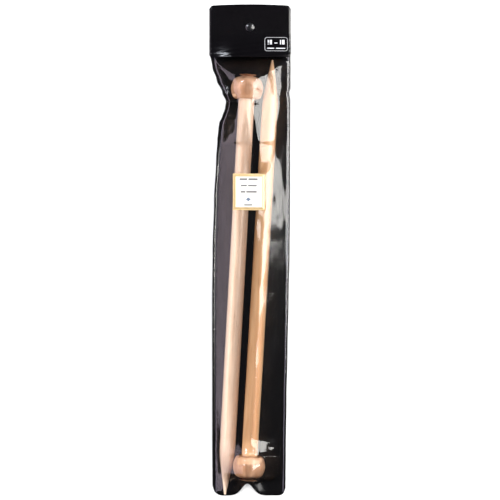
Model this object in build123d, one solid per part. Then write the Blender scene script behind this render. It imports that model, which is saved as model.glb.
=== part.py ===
"""A pair of large wooden straight knitting needles in a clear-fronted vinyl pouch.

The pouch lies on its back. +X is across it, +Y runs up to the flap and +Z comes out of its clear front.
All lengths are in millimetres and all angles in degrees.
"""

import math
import os

from build123d import *

# needles: one turned shaft and one turned knob each
SHAFT_DIAMETER = 15.0
NEEDLE_LENGTH = 397.0  # point to the far side of the knob
POINT_LENGTH = 47.0
KNOB_DIAMETER = 30.3
KNOB_LENGTH = 23.0
KNOB_SEAT_WIDTH = 2.7  # the flat ring round the shaft
SOCKET_DEPTH = 13.0  # how far the shaft is glued into the knob
SOCKET_CHAMFER = 0.6
GLUE_GAP = 0.05
KNOB_A_ACROSS = -2.0  # how far right of the middle line the upper knob's end lies
POINT_A_INSET = 7.3  # from the left edge to the lower point's side
POINT_A_RISE = 1.7  # from the bottom edge up to the lower point
POINT_B_DROP = 53.3  # from the fold down to the upper point
GAP_AT_KNOB_A = 2.0  # room between each knob and the shaft beside it
GAP_AT_KNOB_B = -0.8

# pouch
POUCH_WIDTH = 77.0
SPARE_LENGTH = 69.2  # how much longer than a needle the pouch is
BACK_THICKNESS = 0.4
FILM_THICKNESS = 0.3
FILM_GAP = 0.4  # between the film and the wood that holds it up
REST_GAP = 0.15  # between the wood and the back panel
BOTTOM_CORNER = 8.0
MOUTH_DROP = 12.0  # from the fold down to the film's free edge
LEFT_WELD = 3.8  # from the outline in to the weld
RIGHT_WELD = 2.3
WELD_ROUND = 0.6  # radius of the bead along each weld

PINCH_ROOM = 1.5  # from the upper knob to the weld beside it
PINCH_DROP = 92.6  # from the fold down to the narrowest place
FILM_MARGIN = 1.4  # how far past a knob's ends the film stays at the knob's height
KNOB_MARGIN = 2.5  # a knob's round is taken to reach this far past its ends
POINT_MARGIN = 1.5
POINT_ROUND = 6.0  # the film goes over a point as if it began this far beyond it
MOUTH_ROUND = 0.9  # the film's bend over the two ends of its mouth
MOUTH_FLAT = 0.72  # how much of the mouth's width lies level
MOUTH_BLEND = 6.0  # from the flap's kink down to where the film starts to rise
FILM_HEM = 0.3  # the back panel shows this far beyond the film

# flap
FOLD_RADIUS = 2.0
FLAP_THICKNESS = 0.4
FLAP_LENGTH = 51.0
FLAP_KINK = 0.569 * FLAP_LENGTH  # the flap lifts from here on, over the knob
FLAP_LIFT = 7.5
FLAP_CORNER = 3.0

# snap fastener
SNAP_DROP = 0.433 * FLAP_LENGTH  # from the fold down to the snap
CAP_DIAMETER = 8.3
CAP_RISE = 1.9
SNAP_DIAMETER = 7.4
STUD_DIAMETER = 3.5
SNAP_PLAY = 0.3
POST_DIAMETER = 1.6
CAP_STEM_DIAMETER = 2.4
CAP_STEM_LENGTH = 1.0
CAP_HOLE_DIAMETER = 2.6
PLATE_THICKNESS = 0.4  # the thin rims of the stud and its rivet
STUD_HEIGHT = 1.2
STUD_NECK = 0.25  # how far the stud's neck is cut in below its head
SOCKET_ROOF = 0.6

# printed pieces
LABEL_WIDTH = 29.1
LABEL_HEIGHT = 34.2
LABEL_ACROSS = -1.0
LABEL_RISE = 0.2334  # its middle, as a share of the half length
LABEL_THICKNESS = 0.25
LABEL_CORNER = 0.6
LABEL_LIFT = 0.0858  # how far it stands off the film, as a share of a knob's radius
BADGE_WIDTH = 21.3
BADGE_HEIGHT = 13.2
BADGE_INSET = 13.8  # from the right edge in to the badge's middle
BADGE_DROP = 0.753 * FLAP_LENGTH
BADGE_THICKNESS = 0.2
BADGE_CORNER = 2.0

SHAFT_R = SHAFT_DIAMETER / 2
KNOB_R = KNOB_DIAMETER / 2
KNOB_MIDDLE = NEEDLE_LENGTH - KNOB_LENGTH / 2
HALF = POUCH_WIDTH / 2
TOP = (NEEDLE_LENGTH + SPARE_LENGTH) / 2
WOOD_FLOOR = BACK_THICKNESS + REST_GAP
SNAP_HEIGHT = TOP - SNAP_DROP
MOUTH_Z = 1.5  # the top of the film where it lies flat at the mouth
FLAP_Z = 2 * FOLD_RADIUS  # the top of the flap's flat part

# the needles lie head to tail, each shaft beside the other's knob, so both lean to the right at the top
SIDE_BY_SIDE = 2 * math.sqrt(KNOB_R * SHAFT_R)  # between the middles of a knob and a shaft that touch
POINT_A = (POINT_A_INSET + SHAFT_R - HALF, POINT_A_RISE - TOP)
LEAN_A = math.degrees(math.asin((KNOB_A_ACROSS - POINT_A[0]) / NEEDLE_LENGTH))
POINT_B = (KNOB_A_ACROSS + SIDE_BY_SIDE + GAP_AT_KNOB_A, TOP - POINT_B_DROP)
KNOB_B_RISE = TOP + POINT_B[1] - NEEDLE_LENGTH + KNOB_LENGTH / 2
BESIDE_B = POINT_A[0] + (KNOB_B_RISE - POINT_A_RISE) * math.sin(math.radians(LEAN_A))
LEAN_B = math.degrees(math.asin((POINT_B[0] - BESIDE_B - SIDE_BY_SIDE - GAP_AT_KNOB_B) / NEEDLE_LENGTH))
PITCH = math.degrees(math.asin((KNOB_R - SHAFT_R) / (KNOB_MIDDLE - POINT_LENGTH)))

# the outline's two long edges from the mouth down: (height, distance from the middle line)
PINCH = KNOB_R - KNOB_A_ACROSS + LEFT_WELD + PINCH_ROOM
LEFT_EDGE = [
    (TOP - 41.1, HALF),
    (TOP - 57.1, HALF - 2.5),
    (TOP - PINCH_DROP, PINCH),
    (TOP - 105.1, PINCH + 3.5),
    (TOP - 128.7, HALF - 7.5),
    (0.203 * TOP, HALF - 4.5),
    (-0.204 * TOP, HALF - 2.6),
]
RIGHT_EDGE = [
    (TOP - 41.1, HALF),
    (TOP - 90.7, HALF - 0.2),
    (0.203 * TOP, HALF - 0.3),
    (-0.408 * TOP, HALF - 2.9),
    (43.0 - TOP, HALF - 4.5),
]


def revolved(edges):
    """Turns a closed outline about the +Y axis."""
    return revolve(make_face(edges), Axis.Y)


def shaft():
    """A plain round stick with a long blunt point at the origin, lying along +Y."""
    end = NEEDLE_LENGTH - KNOB_LENGTH + SOCKET_DEPTH
    nose = (0.13 * SHAFT_R, 0.017 * POINT_LENGTH)
    waist = (0.75 * SHAFT_R, 0.58 * POINT_LENGTH)
    slope = (waist[0] - nose[0], waist[1] - nose[1])
    tip = ThreePointArc((0, 0), (0.7 * nose[0], 0.35 * nose[1]), nose)
    cone = Line(nose, waist)
    blend = Spline(waist, (SHAFT_R, POINT_LENGTH), tangents=(slope, (0, 1)))
    side = Polyline((SHAFT_R, POINT_LENGTH), (SHAFT_R, end), (0, end), (0, 0))
    return revolved([tip, cone, blend, side])


def knob():
    """A flattened ball with a flat seat and a blind socket, on the same axis as its shaft."""
    seat = NEEDLE_LENGTH - KNOB_LENGTH
    seat_r = SHAFT_R + KNOB_SEAT_WIDTH
    bore_r = SHAFT_R + GLUE_GAP
    rim = [(seat_r, 0), (0.853 * KNOB_R, 0.07), (0.96 * KNOB_R, 0.24), (KNOB_R, 0.47), (0.915 * KNOB_R, 0.69)]
    crown = [(0.69 * KNOB_R, 0.86), (0.34 * KNOB_R, 0.965), (0, 1.0)]
    points = [(r, seat + s * KNOB_LENGTH) for r, s in rim + crown]
    outside = Spline(points, tangents=((1, 0.1), (-1, 0)))
    floor = seat + SOCKET_DEPTH + GLUE_GAP
    lip = [(bore_r, seat + SOCKET_CHAMFER), (bore_r + SOCKET_CHAMFER, seat), (seat_r, seat)]
    inside = Polyline((0, NEEDLE_LENGTH), (0, floor), (bore_r, floor), *lip)
    return revolved([outside, inside])


def point_z():
    """How high a needle's point is, when its knob and the start of its point both lie on the back panel."""
    return WOOD_FLOOR + SHAFT_R - POINT_LENGTH * math.sin(math.radians(PITCH))


def laid(solid, point, heading):
    """Lays a needle's piece in the pouch, from its point along its heading."""
    return Pos(point[0], point[1], point_z()) * Rot(Z=heading) * Rot(X=PITCH) * solid


def needle_ring(y, point, heading):
    """The round that a needle fills across the pouch at one height, or None where it isn't."""
    turn, tilt = math.radians(heading), math.radians(PITCH)
    s = (y - point[1]) / (math.cos(turn) * math.cos(tilt))
    if s < -POINT_MARGIN or s > NEEDLE_LENGTH + KNOB_MARGIN:
        return None
    reach = min(1.0, (s + POINT_ROUND) / (0.85 * POINT_LENGTH))
    r = KNOB_R if s > NEEDLE_LENGTH - KNOB_LENGTH - KNOB_MARGIN else SHAFT_R * reach
    return point[0] - s * math.cos(tilt) * math.sin(turn), point_z() + s * math.sin(tilt), r


def edge_at(edge, y):
    """The outline's distance from the middle line at one height."""
    if y >= edge[0][0]:
        return edge[0][1]
    for (y1, x1), (y0, x0) in zip(edge, edge[1:]):
        if y >= y0:
            return x0 + (x1 - x0) * (y - y0) / (y1 - y0)
    return edge[-1][1]


def outline():
    """The back panel's outline as a face."""
    high = TOP - FOLD_RADIUS - 1.4
    left = [(-x, y) for y, x in LEFT_EDGE] + [(-LEFT_EDGE[-1][1], -TOP)]
    right = [(x, y) for y, x in RIGHT_EDGE] + [(RIGHT_EDGE[-1][1], -TOP)]
    ring = [(-HALF, high)] + left + right[::-1] + [(HALF, high)]
    face = make_face(Polyline(*ring, close=True))
    corners = [v for v in face.vertices() if v.Y < -TOP + 1]
    return fillet(corners, BOTTOM_CORNER)


def back_panel():
    """The black vinyl back, up to the flap's fold."""
    return extrude(outline(), BACK_THICKNESS)


def film_supports(y):
    """The rounds that the film is stretched over at one height: (x, z, radius), with the two welds."""
    low = BACK_THICKNESS + FILM_THICKNESS
    left, right = LEFT_WELD - edge_at(LEFT_EDGE, y), edge_at(RIGHT_EDGE, y) - RIGHT_WELD
    rounds = [(left, low, WELD_ROUND), (right, low, WELD_ROUND)]
    pad = FILM_GAP + FILM_THICKNESS
    for point, heading in ((POINT_A, -LEAN_A), (POINT_B, 180 - LEAN_B)):
        ring = needle_ring(y, point, heading)
        if ring:
            rounds.append((ring[0], ring[1], ring[2] + pad))
    flat = MOUTH_FLAT * HALF
    rise = (TOP - FLAP_KINK - MOUTH_BLEND - y) / (FLAP_LENGTH - FLAP_KINK - MOUTH_BLEND)
    middle = MOUTH_Z + FLAP_LIFT * max(0.0, rise) - MOUTH_ROUND
    if y > TOP - FLAP_LENGTH - KNOB_MARGIN:
        rounds += [(-flat, middle, MOUTH_ROUND), (flat, middle, MOUTH_ROUND)]
    return rounds


def film_section(y, t):
    """The film's skin across the pouch at one height, t in from its outside, as points from left to right."""
    low = BACK_THICKNESS + FILM_THICKNESS - t
    left, right = FILM_HEM - edge_at(LEFT_EDGE, y), edge_at(RIGHT_EDGE, y) - FILM_HEM
    rounds = film_supports(y)
    angles = [math.radians(a) for a in (165, 150, 135, 120, 105, 90, 80, 65, 50, 35, 15)]
    lines = [(math.cos(a), math.sin(a)) for a in angles]
    reach = [max(x * c + z * s + r for x, z, r in rounds) - t for c, s in lines]
    run = [(left, low), ((reach[0] - low * lines[0][1]) / lines[0][0], low)]
    for (c0, s0), h0, (c1, s1), h1 in zip(lines, reach, lines[1:], reach[1:]):
        d = c0 * s1 - c1 * s0
        run.append(((h0 * s1 - h1 * s0) / d, (c0 * h1 - c1 * h0) / d))
    run += [((reach[-1] - low * lines[-1][1]) / lines[-1][0], low), (right, low)]
    return [(x, y, z) for x, z in run]


def film_heights():
    """Where the film bends on its way up the pouch, above its bottom weld."""
    knob_b = POINT_B[1] - NEEDLE_LENGTH * math.cos(math.radians(LEAN_B))
    knob_a = POINT_A[1] + NEEDLE_LENGTH * math.cos(math.radians(LEAN_A))
    seat_b, seat_a = knob_b + KNOB_LENGTH, knob_a - KNOB_LENGTH
    low = [knob_b - 6.0, knob_b - FILM_MARGIN, seat_b + FILM_MARGIN, seat_b + 10.0]
    bends = {y for y, x in LEFT_EDGE + RIGHT_EDGE if seat_b + 20.0 < y < seat_a - 5.0}
    middle = [-0.6435 * TOP] + sorted(bends)
    high = [seat_a - FILM_MARGIN, knob_a + FILM_MARGIN]
    kink = TOP - FLAP_KINK
    mouth = [TOP - FLAP_LENGTH, kink - MOUTH_BLEND, kink + 2.0, TOP - MOUTH_DROP]
    return low + middle + high + mouth


def flat_section(y, t, inset, count):
    """The film's skin where it is welded flat along the bottom."""
    left, right = inset - LEFT_EDGE[-1][1], RIGHT_EDGE[-1][1] - inset
    step = (right - left) / (count - 1)
    return [(left + step * i, y, BACK_THICKNESS + FILM_THICKNESS - t) for i in range(count)]


def film_grid(t):
    """One skin of the film as rows of points from the bottom weld up to the mouth, t in from its outside."""
    first = film_section(POINT_A[1] - FILM_GAP - FILM_THICKNESS + t, t)
    bottom = [flat_section(-TOP + 0.2 + t, t, BOTTOM_CORNER, len(first))]
    bottom += [flat_section(first[0][1] - 0.2, t, 0.8 * BOTTOM_CORNER, len(first))]
    return bottom + [first] + [film_section(y, t) for y in film_heights()]


def skin(grid, flip):
    """Two triangles for each four neighbours of a grid."""
    out = []
    for i in range(len(grid) - 1):
        for j in range(len(grid[0]) - 1):
            a, b, c, d = grid[i][j], grid[i][j + 1], grid[i + 1][j + 1], grid[i + 1][j]
            out += [(a, b, c), (a, c, d)]
    return [t[::-1] for t in out] if flip else out


def rim(outer, inner):
    """The band of triangles between the borders of two grids."""
    rows, cols = len(outer), len(outer[0])
    walk = [(0, j) for j in range(cols)] + [(i, cols - 1) for i in range(1, rows)]
    walk += [(rows - 1, j) for j in range(cols - 2, -1, -1)] + [(i, 0) for i in range(rows - 2, 0, -1)]
    out = []
    for (i, j), (k, m) in zip(walk, walk[1:] + walk[:1]):
        out += [(outer[i][j], inner[i][j], inner[k][m]), (outer[i][j], inner[k][m], outer[k][m])]
    return out


def front_film():
    """The clear front: a thin sheet stretched over both needles, welded at three sides and open at the top."""
    outer = film_grid(0)
    inner = film_grid(FILM_THICKNESS)
    triangles = skin(outer, False) + skin(inner, True) + rim(outer, inner)
    faces = [Face(Wire.make_polygon([Vector(*p) for p in t])) for t in triangles]
    sheet = Solid(Shell(faces))
    hole = Pos(0, SNAP_HEIGHT, MOUTH_Z) * Cylinder(POST_DIAMETER / 2 + 0.1, 4)
    return sheet - hole


def flap_profile():
    """The flap from the side, in the YZ plane: round the fold, flat over the snap, then lifting."""
    y, z, t = TOP - FOLD_RADIUS, FLAP_Z, FLAP_THICKNESS
    kink, end = TOP - FLAP_KINK, TOP - FLAP_LENGTH
    over = ThreePointArc((y, 0), (TOP, FOLD_RADIUS), (y, z))
    top = Polyline((y, z), (kink, z), (end, z + FLAP_LIFT))
    under = Polyline((end, z + FLAP_LIFT), (end, z + FLAP_LIFT - t), (kink, z - t), (y, z - t))
    inside = ThreePointArc((y, z - t), (TOP - t, FOLD_RADIUS), (y, t))
    return Plane.YZ * make_face([over, top, under, inside, Line((y, t), (y, 0))])


def flap():
    """The black vinyl flap, folded forward over the mouth."""
    sheet = extrude(flap_profile(), HALF, both=True)
    middle = TOP - FLAP_LENGTH / 2
    plan = Rectangle(POUCH_WIDTH, FLAP_LENGTH)
    plan = Pos(0, middle, 0) * fillet(plan.vertices(), FLAP_CORNER)
    sheet = sheet & extrude(plan, FLAP_Z + 2 * FLAP_LIFT)
    return sheet - Pos(0, SNAP_HEIGHT, FLAP_Z) * Cylinder(CAP_HOLE_DIAMETER / 2, FLAP_Z)


def upright(edges):
    """Turns a closed outline drawn in X and height about the snap's axis."""
    turned = revolve(Plane.XZ * make_face(edges), Axis.Z)
    return Pos(0, SNAP_HEIGHT, 0) * turned


def snap_cap():
    """The domed cap on the outside of the flap, with its stem through the flap into the socket."""
    r, z, stem = CAP_DIAMETER / 2, FLAP_Z, CAP_STEM_DIAMETER / 2
    side, low = z + 0.4 * CAP_RISE, FLAP_Z - CAP_STEM_LENGTH
    dome = ThreePointArc((0, z + CAP_RISE), (0.62 * r, z + 0.8 * CAP_RISE), (r, side))
    rest = Polyline((r, side), (0.94 * r, z), (stem, z), (stem, low), (0, low), (0, z + CAP_RISE))
    return upright([dome, rest])


def snap_socket():
    """The ring under the flap that grips the stud."""
    r, top = SNAP_DIAMETER / 2, FLAP_Z - FLAP_THICKNESS
    low, roof = MOUTH_Z + 0.3 + SNAP_PLAY, top - SOCKET_ROOF
    grip, hole = STUD_DIAMETER / 2 + SNAP_PLAY, CAP_STEM_DIAMETER / 2 + 0.05
    side = [(hole, top), (r, top), (r, low), (grip, low), (grip, roof), (hole, roof)]
    return upright([Polyline(*side, close=True)])


def snap_stud():
    """The button on the outside of the film, with a rim and a headed neck."""
    r, z, head = SNAP_DIAMETER / 2, MOUTH_Z, STUD_DIAMETER / 2
    top, bore, neck = z + STUD_HEIGHT, POST_DIAMETER / 2 + GLUE_GAP, head - STUD_NECK
    low = [(bore, z), (r, z), (r, z + 0.3), (neck, z + 0.3), (neck, z + STUD_HEIGHT / 2)]
    high = [(head, z + 0.75), (head, top - 0.15), (head - 0.2, top), (bore, top)]
    return upright([Polyline(*low, *high, close=True)])


def snap_post():
    """The rivet behind the film that holds the stud."""
    r, z, end = SNAP_DIAMETER / 2, MOUTH_Z - FILM_THICKNESS, MOUTH_Z + 1.1
    stem = POST_DIAMETER / 2
    low = z - PLATE_THICKNESS
    side = [(0, low), (r, low), (r, z), (stem, z), (stem, end), (0, end)]
    return upright([Polyline(*side, close=True)])


def card(width, height, thickness, corner):
    """A thin flat card with rounded corners, lying at the origin."""
    return extrude(fillet(Rectangle(width, height).vertices(), corner), thickness)


def ridge(y, point, heading):
    """The top of the film over one needle at one height."""
    x, z, r = needle_ring(y, point, heading)
    return x, z + r + FILM_GAP + FILM_THICKNESS


def label():
    """The printed card stuck on the film, lying across both needles."""
    x, y = LABEL_ACROSS, LABEL_RISE * TOP
    (ax, az), (bx, bz) = ridge(y, POINT_A, -LEAN_A), ridge(y, POINT_B, 180 - LEAN_B)
    low_a, low_b = ridge(y - 10, POINT_A, -LEAN_A)[1], ridge(y - 10, POINT_B, 180 - LEAN_B)[1]
    across = math.degrees(math.atan2(bz - az, bx - ax))
    along = math.degrees(math.atan2((az - low_a + bz - low_b) / 2, 10.0))
    z = az + (x - ax) * (bz - az) / (bx - ax) + LABEL_LIFT * KNOB_R
    flat = card(LABEL_WIDTH, LABEL_HEIGHT, LABEL_THICKNESS, LABEL_CORNER)
    return Pos(x, y, z) * Rot(Y=-across) * Rot(X=along) * flat


def size_badge():
    """The printed size mark on the flap's lifted part."""
    x, y = HALF - BADGE_INSET, TOP - BADGE_DROP
    slope = FLAP_LIFT / (FLAP_LENGTH - FLAP_KINK)
    z = FLAP_Z + (TOP - FLAP_KINK - y) * slope + 0.02
    flat = card(BADGE_WIDTH, BADGE_HEIGHT, BADGE_THICKNESS, BADGE_CORNER)
    return Pos(x, y, z) * Rot(X=-math.degrees(math.atan(slope))) * flat


NODES = {
    "back_panel": back_panel(),
    "front_film": front_film(),
    "snap_post": snap_post(),
    "snap_stud": snap_stud(),
    "label": label(),
    "flap": flap(),
    "snap_cap": snap_cap(),
    "snap_socket": snap_socket(),
    "size_badge": size_badge(),
    "needle_a_shaft": laid(shaft(), POINT_A, -LEAN_A),
    "needle_a_knob": laid(knob(), POINT_A, -LEAN_A),
    "needle_b_shaft": laid(shaft(), POINT_B, 180 - LEAN_B),
    "needle_b_knob": laid(knob(), POINT_B, 180 - LEAN_B),
}

os.makedirs("parts", exist_ok=True)
for name, shape in NODES.items():
    export_step(shape, f"parts/{name}.step")
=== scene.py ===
import math

import bpy
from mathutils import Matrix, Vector, noise


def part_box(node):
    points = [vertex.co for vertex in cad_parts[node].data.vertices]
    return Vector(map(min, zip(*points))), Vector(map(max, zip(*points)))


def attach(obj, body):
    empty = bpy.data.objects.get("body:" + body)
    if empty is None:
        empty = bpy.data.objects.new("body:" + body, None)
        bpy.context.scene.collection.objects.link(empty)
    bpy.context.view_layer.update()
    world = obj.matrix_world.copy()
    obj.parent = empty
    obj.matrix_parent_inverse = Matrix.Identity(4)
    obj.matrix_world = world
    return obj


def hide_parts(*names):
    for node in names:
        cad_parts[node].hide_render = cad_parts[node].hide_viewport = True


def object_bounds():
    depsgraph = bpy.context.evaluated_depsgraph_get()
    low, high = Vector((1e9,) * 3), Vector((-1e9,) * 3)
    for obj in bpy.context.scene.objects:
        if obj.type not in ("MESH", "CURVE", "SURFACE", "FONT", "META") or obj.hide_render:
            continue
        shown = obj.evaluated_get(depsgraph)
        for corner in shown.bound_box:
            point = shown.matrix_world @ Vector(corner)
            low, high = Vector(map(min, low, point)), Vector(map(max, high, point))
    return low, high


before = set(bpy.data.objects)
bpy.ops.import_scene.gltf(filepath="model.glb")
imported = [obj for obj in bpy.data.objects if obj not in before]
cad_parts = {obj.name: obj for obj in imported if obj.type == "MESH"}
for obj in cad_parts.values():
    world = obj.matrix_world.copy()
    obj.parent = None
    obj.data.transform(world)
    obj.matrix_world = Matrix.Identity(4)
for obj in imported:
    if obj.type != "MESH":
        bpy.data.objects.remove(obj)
cad_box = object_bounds()


# The studio: a pale table, a camera that looks straight down on the pouch, and two softboxes beyond its
# flap, left and right, which draw the highlights on the knobs and on the snap. The banks and the overhead
# lamp only light the scene, the two glare lamps only show in reflections, and the table shows in none.
def deselect():
    if bpy.context.mode != "OBJECT":
        bpy.ops.object.mode_set(mode="OBJECT")
    bpy.ops.object.select_all(action="DESELECT")


deselect()
bpy.ops.mesh.primitive_plane_add(size=6.0, location=(0, 0, -0.0002))
table = bpy.context.object
table.name = "table"
paper = bpy.data.materials.new("white_paper")
paper.use_nodes = True
paper.node_tree.nodes["Principled BSDF"].inputs["Base Color"].default_value = (0.9, 0.9, 0.9, 1)
paper.node_tree.nodes["Principled BSDF"].inputs["Roughness"].default_value = 0.9
table.data.materials.append(paper)
table.visible_glossy = False

EYE = 1.5  # metres above the table
VIEW = 0.475  # metres across the table
camera = bpy.data.cameras.new("camera")
camera.sensor_width = 36.0
camera.lens = camera.sensor_width * EYE / VIEW
eye = bpy.data.objects.new("camera", camera)
eye.location = (0.0, 0.0, EYE)
bpy.context.collection.objects.link(eye)
bpy.context.scene.camera = eye
bpy.context.scene.view_settings.view_transform = "Standard"


def softbox(name, place, size, power, colour=(1, 1, 1), mirrored=True, lighting=True):
    light = bpy.data.lights.new(name, "AREA")
    light.shape = "RECTANGLE"
    light.size, light.size_y = size
    light.energy = power
    light.color = colour
    lamp = bpy.data.objects.new(name, light)
    lamp.location = place
    lamp.rotation_euler = (-Vector(place)).to_track_quat("-Z", "Y").to_euler()
    lamp.visible_glossy = mirrored
    lamp.visible_diffuse = lighting
    bpy.context.collection.objects.link(lamp)


softbox("softbox_left", (-0.95, 1.0, 1.15), (0.26, 0.26), 12, (0.88, 0.92, 1.0))
softbox("softbox_right", (0.95, 1.0, 1.15), (0.24, 0.24), 13)
softbox("bank_left", (-1.9, -0.3, 1.7), (1.6, 1.2), 48, mirrored=False)
softbox("bank_right", (1.9, -0.3, 1.7), (1.6, 1.2), 36, mirrored=False)
softbox("overhead", (0.0, 0.0, 2.6), (1.6, 1.6), 42, mirrored=False)
softbox("glare_right", (1.15, 0.27, 0.85), (0.76, 1.9), 44, (1.0, 0.98, 0.94), lighting=False)
softbox("glow_left", (-1.2, 0.0, 0.20), (1.6, 1.6), 15, (0.92, 0.78, 0.92), lighting=False)

world = bpy.data.worlds.new("room")
world.use_nodes = True
world.node_tree.nodes["Background"].inputs["Color"].default_value = (1, 1, 1, 1)
world.node_tree.nodes["Background"].inputs["Strength"].default_value = 0.02
bpy.context.scene.world = world


# Needles: pale close-grained wood, turned, sanded and lacquered. The shafts show straight lengthwise grain
# with short dark pores. Both are one wood; the left shaft is painted paler and pinker than the right, a
# painted glare that stands in for the film's reflection on it.
def wood(name, pale, deep, heading, lift, across=900.0):
    m = bpy.data.materials.new(name)
    m.use_nodes = True
    nodes, links = m.node_tree.nodes, m.node_tree.links
    shader = nodes["Principled BSDF"]
    place = nodes.new("ShaderNodeTexCoord")
    turn = nodes.new("ShaderNodeMapping")
    turn.inputs["Rotation"].default_value = (0, 0, -heading)
    turn.inputs["Location"].default_value = (lift, lift * 3, 0)
    links.new(place.outputs["Object"], turn.inputs["Vector"])

    def streaks(wide, long, detail, rough):
        stretch = nodes.new("ShaderNodeMapping")
        stretch.inputs["Scale"].default_value = (wide, long, wide)
        grain = nodes.new("ShaderNodeTexNoise")
        grain.inputs["Scale"].default_value = 1.0
        grain.inputs["Detail"].default_value = detail
        grain.inputs["Roughness"].default_value = rough
        links.new(turn.outputs["Vector"], stretch.inputs["Vector"])
        links.new(stretch.outputs["Vector"], grain.inputs["Vector"])
        return grain.outputs["Fac"]

    def blended(mode, amount, under, over):
        mix = nodes.new("ShaderNodeMix")
        mix.data_type = "RGBA"
        mix.blend_type = mode
        for value, socket in ((amount, 0), (under, 6), (over, 7)):
            if isinstance(value, bpy.types.NodeSocket):
                links.new(value, mix.inputs[socket])
            else:
                mix.inputs[socket].default_value = value
        return mix.outputs[2]

    def ramp(source, *stops):
        r = nodes.new("ShaderNodeValToRGB")
        r.color_ramp.elements[0].position, r.color_ramp.elements[0].color = stops[0]
        r.color_ramp.elements[1].position, r.color_ramp.elements[1].color = stops[-1]
        for position, colour in stops[1:-1]:
            r.color_ramp.elements.new(position).color = colour
        links.new(source, r.inputs["Fac"])
        return r.outputs["Color"]

    bands = ramp(streaks(150.0, 3.5, 2.0, 0.5), (0.34, (*deep, 1)), (0.64, (*pale, 1)))
    lines = ramp(streaks(across, 9.0, 4.0, 0.65), (0.30, (0.80, 0.72, 0.66, 1)), (0.62, (1, 1, 1, 1)))
    pores = ramp(streaks(1500.0, 90.0, 1.0, 0.5), (0.24, (0.50, 0.36, 0.27, 1)), (0.31, (1, 1, 1, 1)))
    colour = blended("MULTIPLY", 0.55, blended("MULTIPLY", 0.65, bands, lines), pores)
    links.new(colour, shader.inputs["Base Color"])
    bump = nodes.new("ShaderNodeBump")
    bump.inputs["Strength"].default_value = 0.12
    bump.inputs["Distance"].default_value = 0.0002
    links.new(streaks(across, 9.0, 4.0, 0.65), bump.inputs["Height"])
    links.new(bump.outputs["Normal"], shader.inputs["Normal"])
    shader.inputs["Roughness"].default_value = 0.5
    shader.inputs["Coat Weight"].default_value = 0.35
    shader.inputs["Coat Roughness"].default_value = 0.16
    shader.inputs["Specular IOR Level"].default_value = 0.35
    return m


LEAN_A = math.radians(-3.13)  # the needles' headings in the pouch
LEAN_B = math.radians(-3.32)
finishes = {
    # the left shaft's colour is painted paler and pinker than the right's: a painted glare from the film
    # over it
    "needle_a_shaft": wood("birch_painted_glare", (0.86, 0.68, 0.53), (0.77, 0.57, 0.43), LEAN_A, 0.0),
    "needle_a_knob": wood("pale_birch_knob", (0.66, 0.40, 0.25), (0.56, 0.32, 0.19), LEAN_A, 0.7, 500.0),
    "needle_b_shaft": wood("warm_birch", (0.78, 0.50, 0.28), (0.68, 0.38, 0.18), LEAN_B, 1.3),
    "needle_b_knob": wood("warm_birch_knob", (0.64, 0.39, 0.24), (0.54, 0.30, 0.17), LEAN_B, 2.1, 500.0),
}
for node, finish in finishes.items():
    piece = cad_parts[node]
    piece.data.materials.clear()
    piece.data.materials.append(finish)


# Snap fastener: a dark enamelled cap outside the flap, and plated brass rings and rivet inside.
def plain(name, colour, roughness, metallic=0.0, coat=0.0):
    m = bpy.data.materials.new(name)
    m.use_nodes = True
    nodes, links = m.node_tree.nodes, m.node_tree.links
    shader = nodes["Principled BSDF"]
    shader.inputs["Metallic"].default_value = metallic
    shader.inputs["Coat Weight"].default_value = coat
    shader.inputs["Coat Roughness"].default_value = 0.05
    place = nodes.new("ShaderNodeTexCoord")
    mottle = nodes.new("ShaderNodeTexNoise")
    mottle.inputs["Scale"].default_value = 320.0
    mottle.inputs["Detail"].default_value = 3.0
    links.new(place.outputs["Object"], mottle.inputs["Vector"])
    tone = nodes.new("ShaderNodeValToRGB")
    tone.color_ramp.elements[0].color = (*[c * 0.8 for c in colour], 1)
    tone.color_ramp.elements[1].color = (*colour, 1)
    links.new(mottle.outputs["Fac"], tone.inputs["Fac"])
    links.new(tone.outputs["Color"], shader.inputs["Base Color"])
    wear = nodes.new("ShaderNodeMapRange")
    wear.inputs["To Min"].default_value = roughness * 0.8
    wear.inputs["To Max"].default_value = roughness * 1.25
    links.new(mottle.outputs["Fac"], wear.inputs["Value"])
    links.new(wear.outputs["Result"], shader.inputs["Roughness"])
    return m


enamel = plain("dark_enamel", (0.006, 0.006, 0.008), 0.3, coat=0.6)
plating = plain("nickel_plating", (0.62, 0.6, 0.56), 0.25, metallic=1.0)
snap = {"snap_cap": enamel, "snap_socket": plating, "snap_stud": plating, "snap_post": plating}
for node, finish in snap.items():
    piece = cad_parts[node]
    piece.data.materials.clear()
    piece.data.materials.append(finish)


# The pouch's plan: cut as a rectangle, and drawn in at the edges where the needles fill it. The left weld
# pinches in below the upper knob, and the bottom weld is pulled up into a notch behind the lower knob.
TOP = cad_box[1][1]
HALF = cad_box[1][0]
LEFT_EDGE = [
    (-0.2331, 0.0357), (-0.17, 0.0358), (-0.048, 0.0359), (0.0, 0.0354), (0.047, 0.034), (0.085, 0.0321),
    (0.104, 0.031), (0.1145, 0.0300), (0.1205, 0.0293), (0.127, 0.0262), (0.134, 0.0236), (0.1405, 0.0226),
    (0.149, 0.0262), (0.162, 0.0318), (0.1735, 0.0358), (0.186, 0.0378), (0.2, 0.0385), (0.2331, 0.0385),
]  # (height, distance from the middle line)
RIGHT_EDGE = [
    (-0.2331, 0.0336), (-0.19, 0.034), (-0.1425, 0.0346), (-0.095, 0.0356), (-0.0475, 0.0366), (0.0, 0.0376),
    (0.0475, 0.0382), (0.1425, 0.0382), (0.149, 0.0370), (0.154, 0.0384), (0.174, 0.0385), (0.2331, 0.0385),
]
NOTCH = (-0.0024, 0.0118, 0.008)  # place across, height, half width
CORNER_LEFT, CORNER_RIGHT = 0.0095, 0.0067


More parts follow.
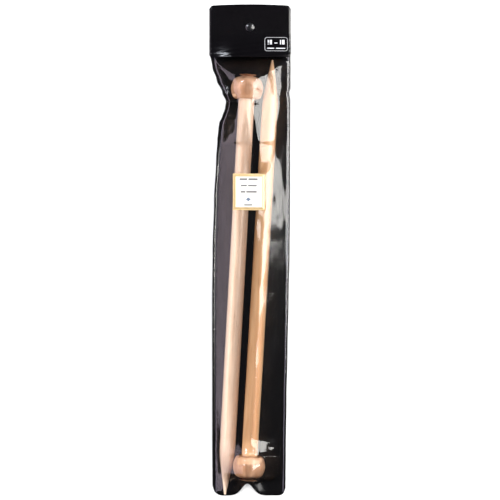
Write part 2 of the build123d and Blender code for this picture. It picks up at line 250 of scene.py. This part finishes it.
def edge_at(edge, y):
    if y <= edge[0][0]:
        return edge[0][1]
    for (y0, x0), (y1, x1) in zip(edge, edge[1:]):
        if y <= y1:
            t = (y - y0) / (y1 - y0)
            return x0 + (x1 - x0) * t * t * (3 - 2 * t)
    return edge[-1][1]


def bottom_at(x):
    left, right = edge_at(LEFT_EDGE, -TOP), edge_at(RIGHT_EDGE, -TOP)
    rise = NOTCH[1] * math.exp(-(((x - NOTCH[0]) / NOTCH[2]) ** 2))
    for inset, r in ((x + left, CORNER_LEFT), (right - x, CORNER_RIGHT)):
        if inset < r:
            rise += r - math.sqrt(max(r * r - (r - inset) ** 2, 0.0))
    return rise


def plan(u, v, top):
    """The place over the table of a point that is u across the sheet and v up it."""
    foot = bottom_at(-edge_at(LEFT_EDGE, -TOP) * (1 - u) + edge_at(RIGHT_EDGE, -TOP) * u)
    y = -TOP + (top + TOP) * v + foot * (1 - v) ** 16
    left, right = edge_at(LEFT_EDGE, y), edge_at(RIGHT_EDGE, y)
    return -left * (1 - u) + right * u, y


def top_trim(x):
    """How far the fold lies below the pouch's top: it bows down to its ends, and its corners are rounded."""
    inset = HALF - abs(x)
    corner = 0.0033 - math.sqrt(max(0.0033**2 - max(0.0033 - inset, 0.0) ** 2, 0.0))
    return 0.0013 * (x / HALF) ** 2 + corner


def seam_lift(x, y):
    """How far the weld is pulled up off the table beside the knobs."""
    notch = 0.0085 * math.exp(-(((x - NOTCH[0]) / 0.0095) ** 2) - max(y + TOP - 0.004, 0.0) / 0.010)
    pinch = 0.0065 * math.exp(-(((y - 0.1405) / 0.014) ** 2) - ((x + edge_at(LEFT_EDGE, y)) / 0.0085) ** 2)
    right = 0.0022 * math.exp(-(((y - 0.150) / 0.02) ** 2) - ((edge_at(RIGHT_EDGE, y) - x) / 0.007) ** 2)
    full = min(1.0, max(0.0, (0.125 - y) / 0.05)) * min(1.0, max(0.0, (y + 0.222) / 0.05))
    side = 0.0048 * full * math.exp(-(((x + edge_at(LEFT_EDGE, y)) / 0.0075) ** 2))
    return notch + pinch + right + side


def grid(name, columns, rows):
    deselect()
    bpy.ops.mesh.primitive_grid_add(x_subdivisions=columns, y_subdivisions=rows, size=1.0)
    piece = bpy.context.object
    piece.name = name
    return piece


def vinyl(name, colour, wrinkle):
    m = bpy.data.materials.new(name)
    m.use_nodes = True
    nodes, links = m.node_tree.nodes, m.node_tree.links
    shader = nodes["Principled BSDF"]
    place = nodes.new("ShaderNodeTexCoord")
    soft = nodes.new("ShaderNodeTexNoise")
    soft.inputs["Scale"].default_value = 45.0
    soft.inputs["Detail"].default_value = 4.0
    links.new(place.outputs["Object"], soft.inputs["Vector"])
    tone = nodes.new("ShaderNodeValToRGB")
    tone.color_ramp.elements[0].color = (*[c * 0.7 for c in colour], 1)
    tone.color_ramp.elements[1].color = (*[c * 1.5 for c in colour], 1)
    links.new(soft.outputs["Fac"], tone.inputs["Fac"])
    links.new(tone.outputs["Color"], shader.inputs["Base Color"])
    bump = nodes.new("ShaderNodeBump")
    bump.inputs["Strength"].default_value = wrinkle
    bump.inputs["Distance"].default_value = 0.002
    links.new(soft.outputs["Fac"], bump.inputs["Height"])
    links.new(bump.outputs["Normal"], shader.inputs["Normal"])
    shader.inputs["Roughness"].default_value = 0.2
    shader.inputs["Specular IOR Level"].default_value = 0.4
    return m


# Back panel: one sheet of soft black vinyl, flat on the table but for where the knobs draw its edge up.
BACK = 0.0004
black = vinyl("black_vinyl", (0.0022, 0.0019, 0.0026), 0.12)
back = grid("back_sheet", 38, 220)
back_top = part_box("back_panel")[1][1]
for vertex in back.data.vertices:
    u, v = vertex.co.x + 0.5, vertex.co.y + 0.5
    x, y = plan(u, v, back_top)
    lift = seam_lift(x, y)
    y -= top_trim(x) * min(1.0, max(0.0, (y - 0.2) / (back_top - 0.2)))
    vertex.co = (x, y, BACK / 2 + lift)
back.data.materials.append(black)
bpy.ops.object.shade_smooth()
thick = back.modifiers.new("thickness", "SOLIDIFY")
thick.thickness = BACK
thick.offset = 0
bpy.ops.object.modifier_apply(modifier=thick.name)
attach(back, "pouch")
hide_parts("back_panel")


# Front film: one sheet of clear vinyl, welded to the back along both sides and the bottom and stretched
# over both needles. It takes the shape of a taut hull over them, with folds that run off the upper knob
# and small wrinkles at the pinch and the notch.
FILM = 0.0003
SHAFT_R, KNOB_R = 0.0075, 0.01515
LENGTH, KNOB_LENGTH, POINT_LENGTH = 0.397, 0.023, 0.047
PITCH = math.asin((KNOB_R - SHAFT_R) / (LENGTH - KNOB_LENGTH / 2 - POINT_LENGTH))
POINT_Z = 0.00055 + SHAFT_R - POINT_LENGTH * math.sin(PITCH)
needles = [((-0.0237, -0.2314), LEAN_A), ((0.0213, 0.1798), math.pi + LEAN_B)]


def needle_round(y, point, heading):
    """The needle's round across the pouch at one height, as (x, z, radius), bridged at the knob."""
    s = (y - point[1]) / (math.cos(heading) * math.cos(PITCH))
    if s < -0.002 or s > LENGTH + 0.002:
        return None
    r = SHAFT_R * min(1.0, (max(s, 0.0) + 0.003) / (0.9 * POINT_LENGTH))
    seat = LENGTH - KNOB_LENGTH
    if s > seat - 0.016:
        t = min(1.0, abs((s - seat - KNOB_LENGTH / 2) / (KNOB_LENGTH / 2 + 0.0004)))
        bun = KNOB_R * (1 - t**2.6) ** 0.42
        bridge = SHAFT_R + 0.0055 * (1 - (seat - s) / 0.016) ** 1.5 if s < seat else 0.0
        r = max(r if s < seat else 0.0, bun if s > seat else 0.0, bridge)
    return point[0] - s * math.sin(heading), POINT_Z + s * math.sin(PITCH), r


# folds that the film makes off the upper knob: (x, y, z) from one end to the other
FOLDS = [
    ((-0.0080, 0.1600, 0.0290), (-0.0352, 0.1800, 0.0022)),
    ((-0.0170, 0.1600, 0.0200), (-0.0300, 0.1730, 0.0075)),
    ((0.0060, 0.1600, 0.0305), (0.0335, 0.1810, 0.0030)),
    ((0.0060, 0.1600, 0.0305), (0.0012, 0.1360, 0.0312)),
    ((-0.0010, 0.1600, 0.0312), (-0.0010, 0.1760, 0.0135)),
    ((0.0012, 0.1360, 0.0305), (0.0065, 0.1135, 0.0272)),
    ((0.0065, 0.1135, 0.0272), (0.0115, 0.0800, 0.0232)),
    ((0.0115, 0.0800, 0.0232), (0.0135, 0.0735, 0.0186)),
    ((0.0135, 0.0735, 0.0186), (0.0150, 0.0200, 0.0172)),
    ((0.0330, 0.1810, 0.0030), (0.0290, 0.1600, 0.0085)),
    ((0.0290, 0.1600, 0.0085), (0.0275, 0.1400, 0.0115)),
    ((0.0275, 0.1400, 0.0115), (0.0262, 0.0800, 0.0095)),
    ((0.0262, 0.0800, 0.0095), (0.0240, -0.010, 0.0100)),
    ((-0.0100, 0.1450, 0.0275), (-0.0125, 0.100, 0.0230)),
]
ANGLES = [math.radians(a) for a in range(8, 176, 4)]


def tent(x, y):
    """The height of a sheet pulled tight over the needles from weld to weld."""
    low = BACK + FILM
    left, right = -edge_at(LEFT_EDGE, y) + 0.0038, edge_at(RIGHT_EDGE, y) - 0.0023
    rounds = [(left, low + seam_lift(left, y), 0.0), (right, low + seam_lift(right, y), 0.0)]
    for point, heading in needles:
        spot = needle_round(y, point, heading)
        if spot:
            rounds.append((spot[0], spot[1], spot[2] + 0.0006))
    for (x0, y0, z0), (x1, y1, z1) in FOLDS:
        t = (y - y0) / (y1 - y0)
        if 0 <= t <= 1:
            rounds.append((x0 + (x1 - x0) * t, z0 + (z1 - z0) * t - 0.0006, 0.0006))
    if x < left or x > right:
        return low + seam_lift(x, y)
    heights = []
    for a in ANGLES:
        reach = max(cx * math.cos(a) + cz * math.sin(a) + r for cx, cz, r in rounds)
        heights.append((reach - x * math.cos(a)) / math.sin(a))
    return max(min(heights), low + seam_lift(x, y))


def wrinkle(x, y):
    """Small folds that fan out from the pinch and from the notch, and the film's slow unevenness."""
    height = 0.0009 * noise.noise(Vector((x * 70, y * 26, 3.0)))
    height += 0.0003 * noise.noise(Vector((x * 190, y * 70, 8.0)))
    for px, py, reach, folds in ((-0.0225, 0.1405, 0.013, 9), (NOTCH[0], -0.224, 0.017, 11)):
        d = math.hypot(x - px, y - py)
        height += 0.0010 * math.exp(-((d / reach) ** 2)) * math.sin(folds * math.atan2(y - py, x - px))
    return height


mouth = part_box("front_film")[1][1]
film = grid("front_sheet", 60, 220)
for vertex in film.data.vertices:
    u, v = vertex.co.x + 0.5, vertex.co.y + 0.5
    x, y = plan(u, v, mouth)
    inset = min(x + edge_at(LEFT_EDGE, y) - 0.0038, edge_at(RIGHT_EDGE, y) - 0.0023 - x)
    from_foot = y - (-TOP + bottom_at(x))
    fade = min(1.0, max(0.0, (0.204 - y) / 0.022))
    fade = fade * fade * (3 - 2 * fade)
    foot = min(1.0, max(0.0, (from_foot - 0.0008) / 0.0016))
    flat = BACK + FILM / 2 + seam_lift(x, y)
    rest = flat if y < 0.1 else flat + 0.0008 * min(1.0, max(0.0, inset / 0.006))
    free = min(1.0, max(0.0, (inset - 0.001) / 0.004)) * fade * foot
    vertex.co = (x, y, rest + (tent(x, y) - flat) * fade * foot + max(wrinkle(x, y), -0.0004) * free)
deselect()
film.select_set(True)
bpy.context.view_layer.objects.active = film
bpy.ops.object.shade_smooth()
even = film.modifiers.new("even", "SMOOTH")
even.factor = 0.5
even.iterations = 4
even.use_x = even.use_y = False
bpy.ops.object.modifier_apply(modifier=even.name)
smooth = film.modifiers.new("smooth", "SUBSURF")
smooth.levels = smooth.render_levels = 1
bpy.ops.object.modifier_apply(modifier=smooth.name)


def clear_film(name):
    m = bpy.data.materials.new(name)
    m.use_nodes = True
    nodes, links = m.node_tree.nodes, m.node_tree.links
    nodes.remove(nodes["Principled BSDF"])
    through = nodes.new("ShaderNodeBsdfTransparent")
    through.inputs["Color"].default_value = (0.95, 0.95, 0.96, 1)
    gloss = nodes.new("ShaderNodeBsdfGlossy")
    gloss.inputs["Color"].default_value = (1, 1, 1, 1)
    gloss.inputs["Roughness"].default_value = 0.12
    haze = nodes.new("ShaderNodeBsdfDiffuse")
    haze.inputs["Color"].default_value = (0.75, 0.74, 0.82, 1)
    place = nodes.new("ShaderNodeTexCoord")
    ripple = nodes.new("ShaderNodeTexNoise")
    ripple.inputs["Scale"].default_value = 90.0
    ripple.inputs["Detail"].default_value = 3.0
    links.new(place.outputs["Object"], ripple.inputs["Vector"])
    bump = nodes.new("ShaderNodeBump")
    bump.inputs["Strength"].default_value = 0.15
    bump.inputs["Distance"].default_value = 0.0006
    links.new(ripple.outputs["Fac"], bump.inputs["Height"])
    edge = nodes.new("ShaderNodeFresnel")
    edge.inputs["IOR"].default_value = 1.5
    for socket in (gloss.inputs["Normal"], edge.inputs["Normal"], haze.inputs["Normal"]):
        links.new(bump.outputs["Normal"], socket)
    veil = nodes.new("ShaderNodeMixShader")
    veil.inputs[0].default_value = 0.0025
    links.new(through.outputs[0], veil.inputs[1])
    links.new(haze.outputs[0], veil.inputs[2])
    shine = nodes.new("ShaderNodeMixShader")
    boost = nodes.new("ShaderNodeMath")
    boost.operation = "MULTIPLY"
    boost.inputs[1].default_value = 1.15
    boost.use_clamp = True
    links.new(edge.outputs[0], boost.inputs[0])
    links.new(boost.outputs[0], shine.inputs[0])
    links.new(veil.outputs[0], shine.inputs[1])
    links.new(gloss.outputs[0], shine.inputs[2])
    links.new(shine.outputs[0], nodes["Material Output"].inputs["Surface"])
    return m


film.data.materials.append(clear_film("clear_vinyl"))
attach(film, "pouch")
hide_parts("front_film")


# Flap: the top of the black sheet, folded forward over the mouth. It lies flat round the snap and
# lifts towards its free edge, less at the left and right than in the middle.
FOLD_R = 0.002
flap_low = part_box("flap")[0][1]
FLAP_CORNER = 0.003
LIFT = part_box("flap")[1][2] - 2 * FOLD_R
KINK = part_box("flap")[1][1] - 0.029
flap_sheet = grid("flap_sheet", 40, 40)
turn_length = math.pi * (FOLD_R - BACK / 2)
flat_length = TOP - FOLD_R - flap_low
for vertex in flap_sheet.data.vertices:
    u, v = vertex.co.x + 0.5, vertex.co.y + 0.5
    along = (1 - v) * (turn_length + flat_length)
    x = (2 * u - 1) * HALF
    if along < turn_length:
        a = -math.pi / 2 + along / (FOLD_R - BACK / 2)
        y, z = TOP - FOLD_R + (FOLD_R - BACK / 2) * math.cos(a), FOLD_R + (FOLD_R - BACK / 2) * math.sin(a)
    else:
        y = TOP - FOLD_R - (along - turn_length)
        t = max(0.0, (KINK - y) / (KINK - flap_low))
        rise = min(1.0, u / 0.34)
        rise = 0.12 + 0.88 * rise * rise * (3 - 2 * rise) - 0.30 * max(0.0, (u - 0.55) / 0.45) ** 2
        z = 2 * FOLD_R - BACK / 2 + LIFT * t * (0.55 + 0.45 * t) * rise
        z += 0.0003 * math.sin(13 * u + 30 * t) * t
    cx, cy = HALF - FLAP_CORNER, flap_low + FLAP_CORNER
    if abs(x) > cx and y < cy:
        dx, dy = abs(x) - cx, cy - y
        shrink = max(dx, dy) / math.hypot(dx, dy)
        x, y = math.copysign(cx + dx * shrink, x), cy - dy * shrink
    y -= top_trim(x) * min(1.0, max(0.0, (y - KINK) / (TOP - KINK)))
    vertex.co = (x, y, z)
bpy.ops.object.shade_smooth()
thick = flap_sheet.modifiers.new("thickness", "SOLIDIFY")
thick.thickness = BACK
thick.offset = 0
bpy.ops.object.modifier_apply(modifier=thick.name)
flap_sheet.data.materials.append(vinyl("flap_vinyl", (0.0022, 0.0019, 0.0026), 0.08))
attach(flap_sheet, "flap")
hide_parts("flap")


# Weld beads: the ridges of melted vinyl that the welding bar leaves, a little in from each long edge.
# They stand a little proud of the film, and their pale grey colour is a painted highlight: it stands in for
# the light line that the film's fold shows beside each weld.
BEAD_RADIUS = 0.00042


def bead(name, edge, side, inset, low_y, high_y):
    """A ridge along one long edge: side is -1 for the left one and 1 for the right one."""
    curve = bpy.data.curves.new(name, "CURVE")
    curve.dimensions = "3D"
    curve.bevel_depth = BEAD_RADIUS
    curve.bevel_resolution = 2
    curve.use_fill_caps = True
    steps = 60
    run = curve.splines.new("NURBS")
    run.points.add(steps)
    for i in range(steps + 1):
        y = low_y + (high_y - low_y) * i / steps
        x = side * (edge_at(edge, y) - inset)
        run.points[i].co = (x, y, BACK + FILM + 0.00005 + seam_lift(x, y), 1)
    run.order_u = 3
    run.use_endpoint_u = True
    deselect()
    piece = bpy.data.objects.new(name, curve)
    bpy.context.collection.objects.link(piece)
    piece.select_set(True)
    bpy.context.view_layer.objects.active = piece
    bpy.ops.object.convert(target="MESH")
    piece.data.materials.append(bead_painted_highlight)
    bpy.ops.object.shade_smooth()
    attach(piece, "pouch")
    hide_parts("front_film")


# the beads' grey, far lighter than the black vinyl under them, is a painted highlight along the welds
bead_painted_highlight = plain("weld_painted_highlight", (0.11, 0.10, 0.13), 0.18, coat=0.3)
bead("weld_left", LEFT_EDGE, -1, 0.0036, -TOP + 0.0035, 0.186)
bead("weld_right", RIGHT_EDGE, 1, 0.0022, -TOP + 0.0035, 0.186)


# Label: a card with a bevelled gilt border and a white face, printed with three grey lines over a small
# diamond and a short bar. It lies on the film across both needles.
def inked(name, colour, metallic, roughness):
    return plain(name, colour, roughness, metallic=metallic, coat=0.25)


low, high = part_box("label")
card_w, card_h = 0.0300, 0.0342
card_x, card_y = (low[0] + high[0]) / 2, (low[1] + high[1]) / 2
card_slope = -0.142  # the card leans down to the right, from one needle to the other
PRINT = 0.00032  # how far the print stands above the card's middle


def on_card(x, y, above):
    """A point of the card's face, x across and y up it."""
    return (card_x + x, card_y + y, (low[2] + high[2]) / 2 + card_slope * x + above)


deselect()
bpy.ops.mesh.primitive_cube_add(size=1.0)
label = bpy.context.object
label.name = "label_card"
for vertex in label.data.vertices:
    x, y, z = vertex.co
    vertex.co = on_card(x * card_w, y * card_h, z * 0.0003)
gilt = inked("gilt_border", (0.62, 0.44, 0.22), 0.25, 0.35)
white = inked("white_card", (0.80, 0.80, 0.74), 0.0, 0.4)
label.data.materials.append(gilt)
label.data.materials.append(white)
bpy.ops.object.mode_set(mode="EDIT")
bpy.ops.mesh.select_all(action="DESELECT")
bpy.ops.object.mode_set(mode="OBJECT")
for face in label.data.polygons:
    face.select = face.normal.z > 0.9
bpy.ops.object.mode_set(mode="EDIT")
bpy.ops.mesh.inset(thickness=0.0006, depth=0.0)
bpy.ops.mesh.inset(thickness=0.0017, depth=0.00045)
bpy.ops.mesh.inset(thickness=0.0005, depth=-0.00035)
bpy.context.object.active_material_index = 1
bpy.ops.object.material_slot_assign()
bpy.ops.object.mode_set(mode="OBJECT")
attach(label, "pouch")
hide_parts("label")

grey_ink = inked("grey_ink", (0.16, 0.15, 0.15), 0.0, 0.5)
blue_ink = inked("blue_ink", (0.10, 0.14, 0.22), 0.0, 0.5)


def printed(name, rows, ink):
    """Flat printed marks on the card: each is (centre across, centre up, width, height)."""
    deselect()
    marks = []
    for x, y, w, h in rows:
        bpy.ops.mesh.primitive_grid_add(x_subdivisions=4, y_subdivisions=1, size=1.0)
        mark = bpy.context.object
        for vertex in mark.data.vertices:
            vertex.co = on_card(x + vertex.co.x * w, y + vertex.co.y * h, PRINT)
        marks.append(mark)
    deselect()
    for mark in marks:
        mark.select_set(True)
    bpy.context.view_layer.objects.active = marks[0]
    bpy.ops.object.join()
    marks[0].name = name
    marks[0].data.materials.append(ink)
    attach(marks[0], "pouch")


bars = [(-0.0052, 0.0118, 0.0072, 0.0019), (0.0038, 0.0118, 0.0086, 0.0019)]
bars += [(-0.0048, 0.0059, 0.0058, 0.0016), (0.0032, 0.0059, 0.0082, 0.0016)]
bars += [(-0.0056, 0.0001, 0.0044, 0.0018), (0.0024, 0.0001, 0.0098, 0.0018)]
bars += [(-0.0006, -0.0122, 0.0078, 0.0013)]
printed("label_lines", bars, grey_ink)

deselect()
bpy.ops.mesh.primitive_circle_add(vertices=4, radius=0.0019, fill_type="NGON")
diamond = bpy.context.object
diamond.name = "label_motif"
for vertex in diamond.data.vertices:
    vertex.co = on_card(vertex.co.x * 1.3 - 0.0006, -0.0070 + vertex.co.y, PRINT)
diamond.data.materials.append(blue_ink)
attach(diamond, "pouch")


# Size mark: white ink on the flap, a rounded outline round two rows of short bars.
low_b, high_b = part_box("size_badge")
mark_x, mark_y = (low_b[0] + high_b[0]) / 2, (low_b[1] + high_b[1]) / 2
white_ink = inked("white_ink", (0.75, 0.75, 0.78), 0.0, 0.45)


def flap_height(x, y):
    """The flap's upper side at a place, from its own mesh."""
    hit, place, _, _ = flap_sheet.ray_cast(Vector((x, y, 0.05)), Vector((0, 0, -1)))
    return place.z if hit else 2 * FOLD_R


def on_flap(name, width, height, corner, wall, x0, y0, bars):
    """A rounded outline with bars inside it, printed on the flap round (x0, y0)."""
    curve = bpy.data.curves.new(name, "CURVE")
    curve.dimensions = "3D"
    curve.bevel_depth = wall / 2
    curve.bevel_resolution = 1
    run = curve.splines.new("POLY")
    ring = []
    for qx, qy, start in ((1, 1, 0), (-1, 1, 90), (-1, -1, 180), (1, -1, 270)):
        for k in range(7):
            a = math.radians(start + 15 * k)
            cx, cy = qx * (width / 2 - corner), qy * (height / 2 - corner)
            ring.append((cx + corner * math.cos(a), cy + corner * math.sin(a)))
    fine = []
    for (xa, ya), (xb, yb) in zip(ring, ring[1:] + ring[:1]):
        n = max(1, int(math.hypot(xb - xa, yb - ya) / 0.001))
        fine += [(xa + (xb - xa) * k / n, ya + (yb - ya) * k / n) for k in range(n)]
    run.points.add(len(fine) - 1)
    for point, (x, y) in zip(run.points, fine):
        point.co = (x0 + x, y0 + y, flap_height(x0 + x, y0 + y), 1)
    run.use_cyclic_u = True
    frame_line = bpy.data.objects.new(name, curve)
    bpy.context.collection.objects.link(frame_line)
    deselect()
    frame_line.select_set(True)
    bpy.context.view_layer.objects.active = frame_line
    bpy.ops.object.convert(target="MESH")
    pieces = [frame_line]
    for x, y, w, h in bars:
        bpy.ops.mesh.primitive_grid_add(x_subdivisions=4, y_subdivisions=2, size=1.0)
        bar = bpy.context.object
        for vertex in bar.data.vertices:
            px, py = x0 + x + vertex.co.x * w, y0 + y + vertex.co.y * h
            vertex.co = (px, py, flap_height(px, py) + 0.00006)
        pieces.append(bar)
    deselect()
    for piece in pieces:
        piece.select_set(True)
    bpy.context.view_layer.objects.active = frame_line
    bpy.ops.object.join()
    frame_line.data.materials.append(white_ink)
    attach(frame_line, "flap")
    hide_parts("size_badge")


marks = [(-0.0074, 0.0020, 0.0010, 0.0044), (-0.0050, 0.0020, 0.0022, 0.0044)]
marks += [(-0.0002, 0.0012, 0.0028, 0.0008)]
marks += [(0.0042, 0.0020, 0.0010, 0.0044), (0.0068, 0.0020, 0.0024, 0.0044)]
marks += [(-0.0052, -0.0040, 0.0066, 0.0009), (0.0042, -0.0040, 0.0086, 0.0009)]
on_flap("size_mark", 0.0213, 0.0132, 0.0022, 0.00036, mark_x, mark_y, marks)
